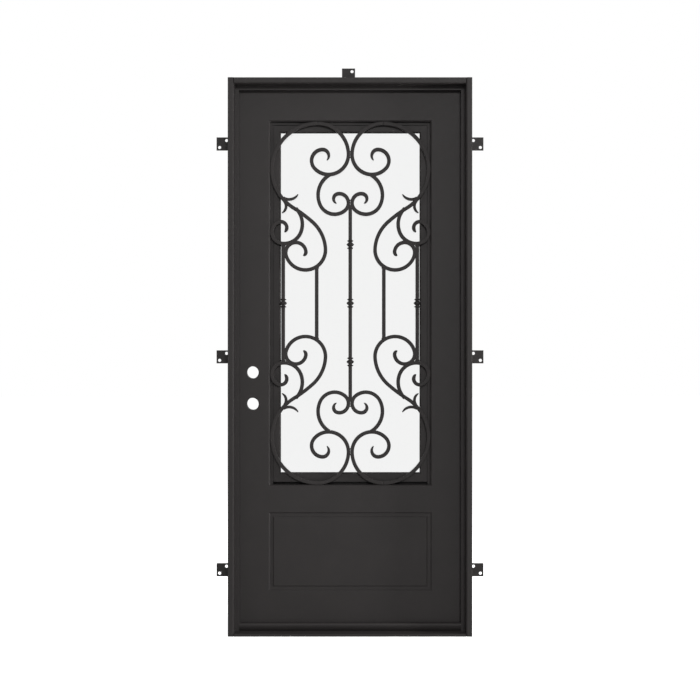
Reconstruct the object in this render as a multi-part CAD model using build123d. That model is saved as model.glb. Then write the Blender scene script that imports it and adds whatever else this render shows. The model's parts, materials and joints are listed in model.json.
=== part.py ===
from build123d import *
import os
from math import acos, ceil, cos, degrees, radians, sin

# A single entry door of welded steel in its own frame, with a wrought scroll grille over its glass.
# Millimetres. +Z is up, +X runs towards the hinges, -Y is the outdoor side.
# The origin is at the middle of the underside of the sill, half way through the frame.

# Frame
FRAME_WIDTH = 1066.0
FRAME_HEIGHT = 2438.0
FRAME_DEPTH = 152.0
FACE_WIDTH = 27.0          # jamb seen from the front
STOP_WIDTH = 44.0          # jamb and stop together
REBATE_WIDTH = 28.0        # jamb beside the leaf
STOP_SETBACK = 60.0        # front of the frame to the front of the stop
STOP_DEPTH = 27.0

# Sill
SILL_LIP = 11.0            # height of the flat front and of the floor under the leaf
SILL_STOP_HEIGHT = 47.0    # height of the raised nose that the leaf closes behind
SILL_NOSE_ROUND = 10.0
SILL_FACE_SLOPE = 6.0      # how far the nose leans back over its height
EDGE_BEVEL = 2.5           # outer front edges of the frame and of the sill
FACE_ROUND = 8.0           # inner front edge of the jambs and the head

# Leaf
LEAF_THICKNESS = 57.0
LEAF_GAP = 5.5             # running gap round the leaf
LOCK_BEVEL = 3.0           # the lock edge leans back by this much, so that it swings clear
SEAL_THICKNESS = 3.0
SEAL_WIDTH = 9.0
SWEEP_HEIGHT = 6.0
SWEEP_WIDTH = 30.0
HEAD_REBATE = 28.0

# Stiles, rails and kick panel of the leaf
LOCK_STILE_WIDTH = 145.0
HINGE_STILE_WIDTH = 142.8
TOP_RAIL_HEIGHT = 143.0
LOCK_RAIL_HEIGHT = 126.0
BOTTOM_RAIL_HEIGHT = 166.0
OPENING_BEVEL = 5.0        # front edge of the leaf round the glazed opening and the kick panel
KICK_HEIGHT = 337.5
KICK_MOAT_WIDTH = 14.0
KICK_MOAT_DEPTH = 5.0
KICK_FIELD_SETBACK = 1.5
KICK_FIELD_BEVEL = 3.4

# Glazing
SASH_SETBACK = 24.0        # front of the leaf to the front of the glazing frame
SASH_WIDTH = 46.0          # top and sides of the glazing frame
SASH_BOTTOM_WIDTH = 52.0
SASH_LAND_WIDTH = 12.5     # outer part of the glazing frame, outside its groove
SASH_GROOVE_WIDTH = 3.5
SASH_GROOVE_DEPTH = 6.0
SASH_SLOT_HEIGHT = 11.5    # open slot under the glazing frame, between the lands of its sides
SASH_SLOT_DEPTH = 26.0
SASH_BEVEL = 4.0           # edge beside the glass
GLASS_THICKNESS = 20.0
GLASS_SETBACK = 6.0        # front of the glazing frame to the glass
GLASS_LAP = 12.0           # glass held behind the edge of the glazing frame

# Lock
BORE_DIAMETER = 54.0
BACKSET = 68.0             # edge of the leaf to the middle of the bores
LOCK_BORE_HEIGHT = 1150.0
LOCK_SPACING = 139.7       # upper bore down to the lower one
LATCH_BORE_DIAMETER = 25.0
STRIKE_HEIGHT = 70.0
STRIKE_WIDTH = 28.0
STRIKE_THICKNESS = 2.0
STRIKE_HOLE_HEIGHT = 30.0
STRIKE_HOLE_WIDTH = 18.0
STRIKE_POCKET_DEPTH = 20.0

# Hinges
HINGE_END_DISTANCE = 230.0 # top or bottom of the leaf to the middle of the nearest hinge
BARREL_RADIUS = 10.0
BARREL_LENGTH = 55.0       # each half
BARREL_STANDOFF = 14.0     # inside face of the leaf to the pin
PIN_RADIUS = 5.0
PIN_CLEARANCE = 0.05
PIN_REACH = 45.0
PIN_END_GAP = 1.0
BARREL_END_GAP = 0.3
HINGE_PLATE_THICKNESS = 8.0
HINGE_PLATE_WIDTH = 24.0
HINGE_PLATE_INSET = 1.0    # edge of the leaf or jamb to the edge of a plate

# Fixing tabs
TAB_SIZE = 58.0            # square, and all of it stands out of the frame
TAB_THICKNESS = 5.0
TAB_SETBACK = 98.0         # front of the frame to the front of a tab
TAB_HOLE_DIAMETER = 14.0
TAB_HOLE_SPACING = 31.0    # across and up, between the two holes of a tab
TAB_END_DISTANCE = 276.0   # top or bottom of the frame to the middle of the nearest tab
TAB_HEAD_OFFSET = 6.5      # middle of the frame to the middle of the head's tab, towards the lock

# Grille. A scroll is a chain of tangent arcs, each a turn in degrees and a signed radius, plus turning left.
# It leaves a branch of the ring at a station: the number of an arc, the turn along it in degrees,
# a step to the left and a turn of the heading.
BAR = 16.0                 # square bar
TIP = 3.0                  # width that a scroll's tapered end comes down to
GRILLE_SETBACK = 3.0       # front of the leaf to the front of the grille
GRILLE_CLEARANCE = 0.3     # outer scrolls to the walls of the opening, and twin scrolls to each other
RING_OUTER_RADIUS = 202.2
RING_INNER_RADIUS = 137.35
RING_DOWN = ((90, RING_OUTER_RADIUS), (58.3, RING_OUTER_RADIUS), (9.7, -614.7), (45.1, -172.6), (167.8, -89.1),
             (189.6, -44.9), (80.7, -17.8))
RING_UP = ((90, -RING_INNER_RADIUS), (77.4, -88.9), (61.5, -84.3), (129.6, -49.5), (140.5, -27.6))
HEART_STATION = (2, 9.7, 1.6, 27.8)
HEART = ((84, 104.2), (106, 70.3), (82.7, 43), (68.2, 39.2), (146.5, 22.4))
SIDE_STATION = (2, 0.9, 3.6, -12.6)
SIDE = ((63.7, -100.1), (80.7, -79.8), (144.3, -49.8), (103.4, -26.7), (68.4, -25.4))
THORN_UP_STATION = (1, 40.1, 4.8, 17.5)
THORN_UP = ((93.2, 46.4),)
THORN_DOWN_STATION = (1, 44.5, -3.1, -6.9)
THORN_DOWN = ((101.6, -33.8),)
THORN_WIDTH = 10.0
THORN_TIP = 4.0
CENTRE_BAR_DROP = 361.0    # top of a ring down to the end of a bar, which the scrolls then trim
INNER_BAR_OFFSET = 3.5     # top of a ring outwards to the middle of a bar
INNER_BAR_DROP = 620.0
SIDE_BAR_OFFSET = 50.0     # outer side of a ring inwards to the middle of a bar
SIDE_BAR_DROP = 515.0
SCROLL_FLAT = 0.4          # most that the straight facets of a scroll leave its true curve
KNUCKLE_SPACING = 260.0
KNUCKLE_RADIUS = 17.0
KNUCKLE_RING_RADIUS = 12.5
KNUCKLE_HEIGHT = 40.0
KNUCKLE_FACETS = 12

# Planes that follow from the sizes
HALF = FRAME_WIDTH / 2
FRONT = -FRAME_DEPTH / 2
BACK = FRAME_DEPTH / 2
STOP_FRONT = FRONT + STOP_SETBACK
STOP_BACK = STOP_FRONT + STOP_DEPTH
LEAF_FRONT = BACK - LEAF_THICKNESS
LEAF_HALF = HALF - REBATE_WIDTH - LEAF_GAP
LEAF_TOP = FRAME_HEIGHT - HEAD_REBATE - LEAF_GAP
LEAF_BOTTOM = SILL_LIP + LEAF_GAP + SWEEP_HEIGHT
KICK_BOTTOM = LEAF_BOTTOM + BOTTOM_RAIL_HEIGHT
KICK_TOP = KICK_BOTTOM + KICK_HEIGHT
OPENING_BOTTOM = KICK_TOP + LOCK_RAIL_HEIGHT
OPENING_TOP = LEAF_TOP - TOP_RAIL_HEIGHT
OPENING_LEFT = -LEAF_HALF + LOCK_STILE_WIDTH
OPENING_RIGHT = LEAF_HALF - HINGE_STILE_WIDTH
LOCK_X = -LEAF_HALF + BACKSET
LOCK_HEIGHTS = (LOCK_BORE_HEIGHT, LOCK_BORE_HEIGHT - LOCK_SPACING)
HINGE_HEIGHTS = (LEAF_BOTTOM + HINGE_END_DISTANCE, (LEAF_BOTTOM + LEAF_TOP) / 2, LEAF_TOP - HINGE_END_DISTANCE)
HINGE_X = LEAF_HALF + LEAF_GAP / 2
HINGE_Y = BACK + BARREL_STANDOFF
SASH_FRONT = LEAF_FRONT + SASH_SETBACK
GLASS_FRONT = SASH_FRONT + GLASS_SETBACK
GRILLE_FRONT = LEAF_FRONT + GRILLE_SETBACK
LEAF_MIDDLE = (LEAF_FRONT + BACK) / 2

# Grille pattern: its scale follows the opening's width, and it hangs from the opening's top
RING_REACH = (OPENING_RIGHT - OPENING_LEFT) / 2 - GRILLE_CLEARANCE - BAR / 2
RING_INSET = (BAR + GRILLE_CLEARANCE) / 2
PATTERN_SCALE = (RING_REACH - RING_INSET) / (RING_OUTER_RADIUS + RING_INNER_RADIUS)
RING_TOP_X = -RING_INSET - PATTERN_SCALE * RING_INNER_RADIUS
RING_TOP_Z = (OPENING_TOP - OPENING_BOTTOM) / 2 - GRILLE_CLEARANCE - BAR / 2


def block(x0, x1, y0, y1, z0, z1):
    """A box between two corners."""
    return Pos((x0 + x1) / 2, (y0 + y1) / 2, (z0 + z1) / 2) * Box(x1 - x0, y1 - y0, z1 - z0)


def flare(x0, x1, y, depth, z0, z1):
    """The wedge that bevels a rectangle's edge: it narrows to the rectangle over its depth."""
    faces = []
    for grow, at in ((depth, y), (0, y + depth)):
        corners = [(x0 - grow, z0 - grow), (x1 + grow, z0 - grow), (x1 + grow, z1 + grow), (x0 - grow, z1 + grow)]
        faces.append(make_face(Polyline([(cx, at, cz) for cx, cz in corners], close=True)))
    return loft(faces)


def rod(x, y, z, radius, length, axis):
    """A cylinder with its middle at x, y, z, along one of the three axes."""
    turn = {"x": Rot(0, 90, 0), "y": Rot(90, 0, 0), "z": Rot(0, 0, 0)}[axis]
    return Pos(x, y, z) * turn * Cylinder(radius, length)


def rounded_corner(outer):
    """Three points of the round between a front face and an inner wall, given as distances from the outer
    edge and places in depth."""
    corner = FACE_ROUND * (1 - sin(radians(45)))
    return ((outer - FACE_WIDTH + FACE_ROUND, FRONT), (outer - FACE_WIDTH + corner, FRONT + corner),
            (outer - FACE_WIDTH, FRONT + FACE_ROUND))


def jamb(side):
    """One side of the frame: face, stop and rebate, running from the sill's underside to the top."""
    start, middle, end = [(side * x, y) for x, y in rounded_corner(HALF)]
    outline = [end, (side * (HALF - FACE_WIDTH), STOP_FRONT), (side * (HALF - STOP_WIDTH), STOP_FRONT),
               (side * (HALF - STOP_WIDTH), STOP_BACK), (side * (HALF - REBATE_WIDTH), STOP_BACK),
               (side * (HALF - REBATE_WIDTH), BACK), (side * HALF, BACK), (side * HALF, FRONT + EDGE_BEVEL),
               (side * (HALF - EDGE_BEVEL), FRONT), start]
    section = make_face([ThreePointArc(start, middle, end), Polyline(outline)])
    return extrude(section, amount=FRAME_HEIGHT, dir=(0, 0, 1))


def across(outline, reach):
    """A bar along X from its outline in Y and Z, reaching equally far to both sides."""
    section = make_face(Polyline([(-reach, y, z) for y, z in outline], close=True))
    return extrude(section, amount=2 * reach, dir=(1, 0, 0))


def head():
    """The top of the frame, fitted between the jambs."""
    inner = HALF - FACE_WIDTH
    start, middle, end = [(-inner, y, z) for z, y in rounded_corner(FRAME_HEIGHT)]
    outline = [end, (-inner, STOP_FRONT, FRAME_HEIGHT - FACE_WIDTH), (-inner, STOP_FRONT, FRAME_HEIGHT),
               (-inner, FRONT + EDGE_BEVEL, FRAME_HEIGHT), (-inner, FRONT, FRAME_HEIGHT - EDGE_BEVEL), start]
    section = make_face([ThreePointArc(start, middle, end), Polyline(outline)])
    face = extrude(section, amount=2 * inner, dir=(1, 0, 0))
    inner = HALF - STOP_WIDTH
    stop = block(-inner, inner, STOP_FRONT, STOP_BACK, FRAME_HEIGHT - STOP_WIDTH, FRAME_HEIGHT)
    inner = HALF - REBATE_WIDTH
    rebate = block(-inner, inner, STOP_BACK, BACK, FRAME_HEIGHT - HEAD_REBATE, FRAME_HEIGHT)
    return face + stop + rebate


def threshold():
    """The sill: a flat front, a raised nose with a rounded top and a floor under the leaf."""
    front_floor = across([(FRONT, 0), (STOP_FRONT, 0), (STOP_FRONT, SILL_LIP),
                          (FRONT + EDGE_BEVEL, SILL_LIP), (FRONT, SILL_LIP - EDGE_BEVEL)], HALF - FACE_WIDTH)
    back_floor = across([(STOP_BACK, 0), (BACK, 0), (BACK, SILL_LIP), (STOP_BACK, SILL_LIP)], HALF - REBATE_WIDTH)
    nose = across([(STOP_FRONT, 0), (STOP_BACK, 0), (STOP_BACK, SILL_STOP_HEIGHT),
                   (STOP_FRONT + SILL_FACE_SLOPE, SILL_STOP_HEIGHT), (STOP_FRONT, SILL_LIP)], HALF - STOP_WIDTH)
    edge = nose.edges().filter_by(Axis.X).sort_by(
        lambda e: abs(e.center().Y - STOP_FRONT - SILL_FACE_SLOPE) + abs(e.center().Z - SILL_STOP_HEIGHT))[0]
    nose = fillet(edge, SILL_NOSE_ROUND)
    return front_floor + nose + back_floor


def tab(x, z, side):
    """A square fixing plate with its middle at x, z, and two holes on a slant."""
    y = FRONT + TAB_SETBACK
    half, step = TAB_SIZE / 2, TAB_HOLE_SPACING / 2
    plate = block(x - half, x + half, y, y + TAB_THICKNESS, z - half, z + half)
    for hole_x, hole_z in ((x + side * step, z - step), (x - side * step, z + step)):
        plate -= rod(hole_x, y, hole_z, TAB_HOLE_DIAMETER / 2, 4 * TAB_THICKNESS, "y")
    return plate


def side_tabs(side):
    """The three tabs of one jamb."""
    heights = (TAB_END_DISTANCE, FRAME_HEIGHT / 2, FRAME_HEIGHT - TAB_END_DISTANCE)
    return Compound([tab(side * (HALF + TAB_SIZE / 2), z, side) for z in heights])


def seal_side(side):
    """A rubber strip on the back of a jamb's stop."""
    x0, x1 = sorted((side * (LEAF_HALF - SEAL_WIDTH), side * LEAF_HALF))
    return block(x0, x1, STOP_BACK, STOP_BACK + SEAL_THICKNESS, SILL_STOP_HEIGHT, LEAF_TOP)


def seal_head():
    """A rubber strip on the back of the head's stop."""
    inner = LEAF_HALF - SEAL_WIDTH
    return block(-inner, inner, STOP_BACK, STOP_BACK + SEAL_THICKNESS, LEAF_TOP - SEAL_WIDTH, LEAF_TOP)


def hinge_frame_half(z):
    """The lower barrel of a hinge, with its plate on the jamb and the pin that stands up from it."""
    barrel = rod(HINGE_X, HINGE_Y, z - BARREL_LENGTH / 2 - BARREL_END_GAP / 2, BARREL_RADIUS, BARREL_LENGTH, "z")
    top = z - BARREL_END_GAP / 2
    x = HALF - REBATE_WIDTH + HINGE_PLATE_INSET
    plate = block(x, x + HINGE_PLATE_WIDTH, BACK, BACK + HINGE_PLATE_THICKNESS, top - BARREL_LENGTH, top)
    pin = rod(HINGE_X, HINGE_Y, top + PIN_REACH / 2, PIN_RADIUS, PIN_REACH, "z")
    return barrel + plate + pin


def hinge_leaf_half(z):
    """The upper barrel of a hinge, with its plate on the leaf and a bore for the pin."""
    bottom = z + BARREL_END_GAP / 2
    barrel = rod(HINGE_X, HINGE_Y, bottom + BARREL_LENGTH / 2, BARREL_RADIUS, BARREL_LENGTH, "z")
    x = LEAF_HALF - HINGE_PLATE_INSET
    plate = block(x - HINGE_PLATE_WIDTH, x, BACK, BACK + HINGE_PLATE_THICKNESS, bottom, bottom + BARREL_LENGTH)
    depth = PIN_REACH + PIN_END_GAP
    bore = rod(HINGE_X, HINGE_Y, bottom + depth / 2, PIN_RADIUS + PIN_CLEARANCE, depth, "z")
    return barrel + plate - bore


def strike(z, cut):
    """A strike plate let into the lock jamb's rebate, or the pocket and latch hole for it."""
    x = -(HALF - REBATE_WIDTH)
    plate = block(x - STRIKE_THICKNESS, x, LEAF_MIDDLE - STRIKE_WIDTH / 2, LEAF_MIDDLE + STRIKE_WIDTH / 2,
                  z - STRIKE_HEIGHT / 2, z + STRIKE_HEIGHT / 2)
    hole = block(x - STRIKE_POCKET_DEPTH, x, LEAF_MIDDLE - STRIKE_HOLE_WIDTH / 2, LEAF_MIDDLE + STRIKE_HOLE_WIDTH / 2,
                 z - STRIKE_HOLE_HEIGHT / 2, z + STRIKE_HOLE_HEIGHT / 2)
    return plate + hole if cut else plate - hole


def lock_jamb():
    """The jamb opposite the hinges, with pockets for its strike plates."""
    post = jamb(-1)
    for z in LOCK_HEIGHTS:
        post -= strike(z, True)
    return post


def leaf_members():
    """The two stiles and three rails, bevelled in front round the glazed opening and the kick panel."""
    members = {
        "lock_stile": lock_stile(),
        "hinge_stile": block(OPENING_RIGHT, LEAF_HALF, LEAF_FRONT, BACK, LEAF_BOTTOM, LEAF_TOP),
        "top_rail": block(OPENING_LEFT, OPENING_RIGHT, LEAF_FRONT, BACK, OPENING_TOP, LEAF_TOP),
        "lock_rail": block(OPENING_LEFT, OPENING_RIGHT, LEAF_FRONT, BACK, KICK_TOP, OPENING_BOTTOM),
        "bottom_rail": block(OPENING_LEFT, OPENING_RIGHT, LEAF_FRONT, BACK, LEAF_BOTTOM, KICK_BOTTOM),
    }
    for bottom, top in ((OPENING_BOTTOM, OPENING_TOP), (KICK_BOTTOM, KICK_TOP)):
        bevel = flare(OPENING_LEFT, OPENING_RIGHT, LEAF_FRONT, OPENING_BEVEL, bottom, top)
        for name in members:
            members[name] -= bevel
    return members


def lock_stile():
    """The stile with the two through bores and the latch bores from its edge."""
    outline = [(-LEAF_HALF + LOCK_BEVEL, LEAF_FRONT), (OPENING_LEFT, LEAF_FRONT),
               (OPENING_LEFT, BACK), (-LEAF_HALF, BACK)]
    section = make_face(Polyline([(x, y, LEAF_BOTTOM) for x, y in outline], close=True))
    stile = extrude(section, amount=LEAF_TOP - LEAF_BOTTOM, dir=(0, 0, 1))
    for z in LOCK_HEIGHTS:
        stile -= rod(LOCK_X, LEAF_MIDDLE, z, BORE_DIAMETER / 2, 2 * LEAF_THICKNESS, "y")
        stile -= rod(-LEAF_HALF, LEAF_MIDDLE, z, LATCH_BORE_DIAMETER / 2, 2 * BACKSET, "x")
    return stile


def kick_panel():
    """The pressed panel below the lock rail: on both sides a sunk border round a raised field."""
    panel = block(OPENING_LEFT, OPENING_RIGHT, LEAF_FRONT + KICK_MOAT_DEPTH, BACK - KICK_MOAT_DEPTH,
                  KICK_BOTTOM, KICK_TOP)
    field = block(OPENING_LEFT + KICK_MOAT_WIDTH, OPENING_RIGHT - KICK_MOAT_WIDTH,
                  LEAF_FRONT + KICK_FIELD_SETBACK, BACK - KICK_FIELD_SETBACK,
                  KICK_BOTTOM + KICK_MOAT_WIDTH, KICK_TOP - KICK_MOAT_WIDTH)
    faces = field.faces().sort_by(Axis.Y)
    return panel + chamfer(faces[0].edges() + faces[-1].edges(), KICK_FIELD_BEVEL)


def inset_block(inset, bottom_inset, y0, y1):
    """A block the size of the glazed opening, drawn in at the top and sides and, by another distance, below."""
    bottom, top = OPENING_BOTTOM + bottom_inset, OPENING_TOP - inset
    return block(OPENING_LEFT + inset, OPENING_RIGHT - inset, y0, y1, bottom, top)


def glass():
    """The sealed glass unit, its edges let into the glazing frame."""
    sight, bottom_sight = SASH_WIDTH - GLASS_LAP, SASH_BOTTOM_WIDTH - GLASS_LAP
    return inset_block(sight, bottom_sight, GLASS_FRONT, GLASS_FRONT + GLASS_THICKNESS)


def glazing_frame():
    """The frame that holds the glass, in four sides: a land, a groove, a flat and a bevelled inner edge,
    and an open slot in place of the land along the bottom."""
    land, groove, slot = SASH_LAND_WIDTH, SASH_LAND_WIDTH + SASH_GROOVE_WIDTH, SASH_SLOT_HEIGHT
    ring = inset_block(0, 0, SASH_FRONT, BACK)
    ring -= inset_block(SASH_WIDTH, SASH_BOTTOM_WIDTH, SASH_FRONT, BACK)
    ring -= glass()
    ring -= flare(OPENING_LEFT + SASH_WIDTH, OPENING_RIGHT - SASH_WIDTH, SASH_FRONT, SASH_BEVEL,
                  OPENING_BOTTOM + SASH_BOTTOM_WIDTH, OPENING_TOP - SASH_WIDTH)
    depth = SASH_FRONT + SASH_GROOVE_DEPTH
    ring -= inset_block(land, 0, SASH_FRONT, depth) - inset_block(groove, slot, SASH_FRONT, depth)
    ring -= block(OPENING_LEFT + land, OPENING_RIGHT - land, SASH_FRONT, SASH_FRONT + SASH_SLOT_DEPTH,
                  OPENING_BOTTOM, OPENING_BOTTOM + slot)
    x0, x1, z0, z1 = OPENING_LEFT, OPENING_RIGHT, OPENING_BOTTOM, OPENING_TOP
    inner_bottom, inner_top = z0 + SASH_BOTTOM_WIDTH, z1 - SASH_WIDTH
    return {
        "glazing_frame_top": ring & block(x0, x1, SASH_FRONT, BACK, inner_top, z1),
        "glazing_frame_bottom": ring & block(x0, x1, SASH_FRONT, BACK, z0, inner_bottom),
        "glazing_frame_lock_side": ring & block(x0, x0 + SASH_WIDTH, SASH_FRONT, BACK, inner_bottom, inner_top),
        "glazing_frame_hinge_side": ring & block(x1 - SASH_WIDTH, x1, SASH_FRONT, BACK, inner_bottom, inner_top),
    }


def branch(start, arcs, scale, width=BAR, tip=TIP):
    """Walk along tangent arcs from a point and a heading, by equal flats that stay close to each arc.
    Returns the points along the left and the right of a bar that tapers to its tip along the last arc."""
    x, z, heading = start
    left, right = [], []
    for number, (turn, design_radius) in enumerate(arcs):
        last = number == len(arcs) - 1
        radius = design_radius * scale
        signed = turn if radius > 0 else -turn
        centre_x, centre_z = x - radius * sin(radians(heading)), z + radius * cos(radians(heading))
        steps = ceil(turn / degrees(2 * acos(1 - SCROLL_FLAT / abs(radius))))
        for step in range(0 if number == 0 else 1, steps + 1):
            share = step / steps
            h = radians(heading + signed * share)
            half = (width - (width - tip) * share) / 2 if last else width / 2
            x, z = centre_x + radius * sin(h), centre_z - radius * cos(h)
            left.append((x - half * sin(h), 0, z + half * cos(h)))
            right.append((x + half * sin(h), 0, z - half * cos(h)))
        heading += signed
    return left, right


def spread(arcs, heading):
    """How far a chain of arcs gets to the left and to the right of its start, at full scale."""
    left, right = branch((0, 0, heading), arcs, 1, 0, 0)
    across_by = [x for x, y, z in left]
    return min(across_by), max(across_by)


def leaving(heading, arcs, station):
    """The point and heading of a scroll that leaves a branch of the ring at a station."""
    number, turn, sidestep, swing = station
    part_way = arcs[:number] + ((turn, arcs[number][1]),)
    x, z = RING_TOP_X, RING_TOP_Z
    for arc_turn, design_radius in part_way:
        radius = design_radius * PATTERN_SCALE
        centre_x, centre_z = x - radius * sin(radians(heading)), z + radius * cos(radians(heading))
        heading += arc_turn if radius > 0 else -arc_turn
        x, z = centre_x + radius * sin(radians(heading)), centre_z - radius * cos(radians(heading))
    step = sidestep * PATTERN_SCALE
    return x - step * sin(radians(heading)), z + step * cos(radians(heading)), heading + swing


def bar_shape(outline):
    """A flat piece of the grille, as thick as its bar."""
    return extrude(make_face(Polyline(outline, close=True)), amount=BAR, dir=(0, 1, 0))


def scroll(start, arcs, scale, width=BAR, tip=TIP):
    """A flat scroll with one branch."""
    left, right = branch(start, arcs, scale, width, tip)
    return bar_shape(left + right[::-1])


def ring_scroll():
    """The ring, whose two branches leave its top in opposite directions."""
    left, right = branch((RING_TOP_X, RING_TOP_Z, 180), RING_DOWN, PATTERN_SCALE)
    outline = left + right[::-1]
    left, right = branch((RING_TOP_X, RING_TOP_Z, 0), RING_UP, PATTERN_SCALE)
    return bar_shape(outline + left[1:] + right[:0:-1])


def largest(shape):
    """The largest solid of a cut shape."""
    return sorted(shape.solids(), key=lambda s: s.volume)[-1]


def nearest_middle(shape):
    """The solid of a cut bar that crosses the grille's middle line."""
    return sorted(shape.solids(), key=lambda s: abs(s.center().Z))[0]


def quadrants(shape):
    """A piece of the upper left quarter and its three mirror images."""
    right = mirror(shape, about=Plane.YZ)
    return {
        "upper_lock_side": shape,
        "upper_hinge_side": right,
        "lower_lock_side": mirror(shape, about=Plane.XY),
        "lower_hinge_side": mirror(right, about=Plane.XY),
    }


def upright(x, drop):
    """A straight upright bar of the grille, its ends the same distance below and above the rings' tops."""
    half_height = RING_TOP_Z - drop * PATTERN_SCALE
    return block(x - BAR / 2, x + BAR / 2, 0, BAR, -half_height, half_height)


def collar(radius, height):
    """A round ring of the knuckles, as a prism."""
    return extrude(RegularPolygon(radius, KNUCKLE_FACETS), amount=height / 2, both=True)


def knuckle(x, z):
    """A turned collar threaded on a bar: a wide ring between two narrow ones."""
    body = collar(KNUCKLE_RING_RADIUS, KNUCKLE_HEIGHT) + collar(KNUCKLE_RADIUS, KNUCKLE_HEIGHT / 2)
    hole = block(x - BAR / 2, x + BAR / 2, 0, BAR, z - KNUCKLE_HEIGHT, z + KNUCKLE_HEIGHT)
    return Pos(x, BAR / 2, z) * body - hole


def grille():
    """Every piece of the grille, by name, in its own plane."""
    ring = ring_scroll()
    # The heart is as large as its way from the ring to the middle line, the side scroll as its way to the wall.
    start = leaving(0, RING_UP, HEART_STATION)
    heart = scroll(start, HEART, (-RING_INSET - start[0]) / spread(HEART, start[2])[1])
    start = leaving(180, RING_DOWN, SIDE_STATION)
    side = scroll(start, SIDE, (-RING_REACH - start[0]) / spread(SIDE, start[2])[0])
    heart, side = largest(heart - ring), largest(side - ring)
    start = leaving(180, RING_DOWN, THORN_UP_STATION)
    thorn_up = largest(scroll(start, THORN_UP, PATTERN_SCALE, THORN_WIDTH, THORN_TIP) - ring - side)
    start = leaving(180, RING_DOWN, THORN_DOWN_STATION)
    thorn_down = scroll(start, THORN_DOWN, PATTERN_SCALE, THORN_WIDTH, THORN_TIP)
    thorn_down = largest(thorn_down - ring - side - thorn_up)
    rings, hearts, sides = quadrants(ring), quadrants(heart), quadrants(side)
    thorns = list(quadrants(thorn_up).values()) + list(quadrants(thorn_down).values())
    scrolls = Compound([*rings.values(), *hearts.values(), *sides.values()])
    pieces = {}
    for where in rings:
        pieces["ring_scroll_" + where] = rings[where]
        pieces["heart_scroll_" + where] = hearts[where]
        pieces["side_scroll_" + where] = sides[where]
    pieces["grille_thorns"] = Compound(thorns)
    inner_x = RING_TOP_X - INNER_BAR_OFFSET * PATTERN_SCALE
    side_x = -RING_REACH + SIDE_BAR_OFFSET * PATTERN_SCALE
    pieces["centre_bar"] = nearest_middle(upright(0, CENTRE_BAR_DROP) - scrolls)
    pieces["inner_bar_lock_side"] = nearest_middle(upright(inner_x, INNER_BAR_DROP) - scrolls)
    pieces["inner_bar_hinge_side"] = nearest_middle(upright(-inner_x, INNER_BAR_DROP) - scrolls)
    pieces["side_bar_lock_side"] = nearest_middle(upright(side_x, SIDE_BAR_DROP) - scrolls)
    pieces["side_bar_hinge_side"] = nearest_middle(upright(-side_x, SIDE_BAR_DROP) - scrolls)
    places = [(0, -KNUCKLE_SPACING), (0, 0), (0, KNUCKLE_SPACING), (side_x, 0), (-side_x, 0)]
    pieces["bar_knuckles"] = Compound([knuckle(x, z) for x, z in places])
    return pieces


def build():
    """Every piece of the door, by name."""
    parts = {}
    parts["jamb_lock_side"] = lock_jamb()
    parts["jamb_hinge_side"] = jamb(1)
    parts["head_jamb"] = head()
    parts["threshold"] = threshold()
    parts["tabs_lock_side"] = side_tabs(-1)
    parts["tabs_hinge_side"] = side_tabs(1)
    parts["tab_head"] = tab(-TAB_HEAD_OFFSET, FRAME_HEIGHT + TAB_SIZE / 2, -1)
    parts["seal_lock_side"] = seal_side(-1)
    parts["seal_hinge_side"] = seal_side(1)
    parts["seal_head"] = seal_head()
    parts["strike_plates"] = Compound([strike(z, False) for z in LOCK_HEIGHTS])
    parts["hinge_barrels_frame"] = Compound([hinge_frame_half(z) for z in HINGE_HEIGHTS])
    parts["hinge_barrels_leaf"] = Compound([hinge_leaf_half(z) for z in HINGE_HEIGHTS])
    parts.update(leaf_members())
    parts["kick_panel"] = kick_panel()
    parts.update(glazing_frame())
    parts["glass_unit"] = glass()
    parts["door_sweep"] = block(-LEAF_HALF, LEAF_HALF, LEAF_MIDDLE - SWEEP_WIDTH / 2,
                                LEAF_MIDDLE + SWEEP_WIDTH / 2, LEAF_BOTTOM - SWEEP_HEIGHT, LEAF_BOTTOM)
    place = Pos((OPENING_LEFT + OPENING_RIGHT) / 2, GRILLE_FRONT, (OPENING_BOTTOM + OPENING_TOP) / 2)
    for name, shape in grille().items():
        parts[name] = place * shape
    return parts


os.makedirs("parts", exist_ok=True)
for name, shape in build().items():
    export_step(shape, f"parts/{name}.step")
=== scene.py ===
"""Iron front door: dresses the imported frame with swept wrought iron, seals, screws, welds and paint.

Metres throughout. +Z is up, +X runs towards the hinges and -Y is outdoors, as in the CAD.
"""
import json
import math

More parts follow.
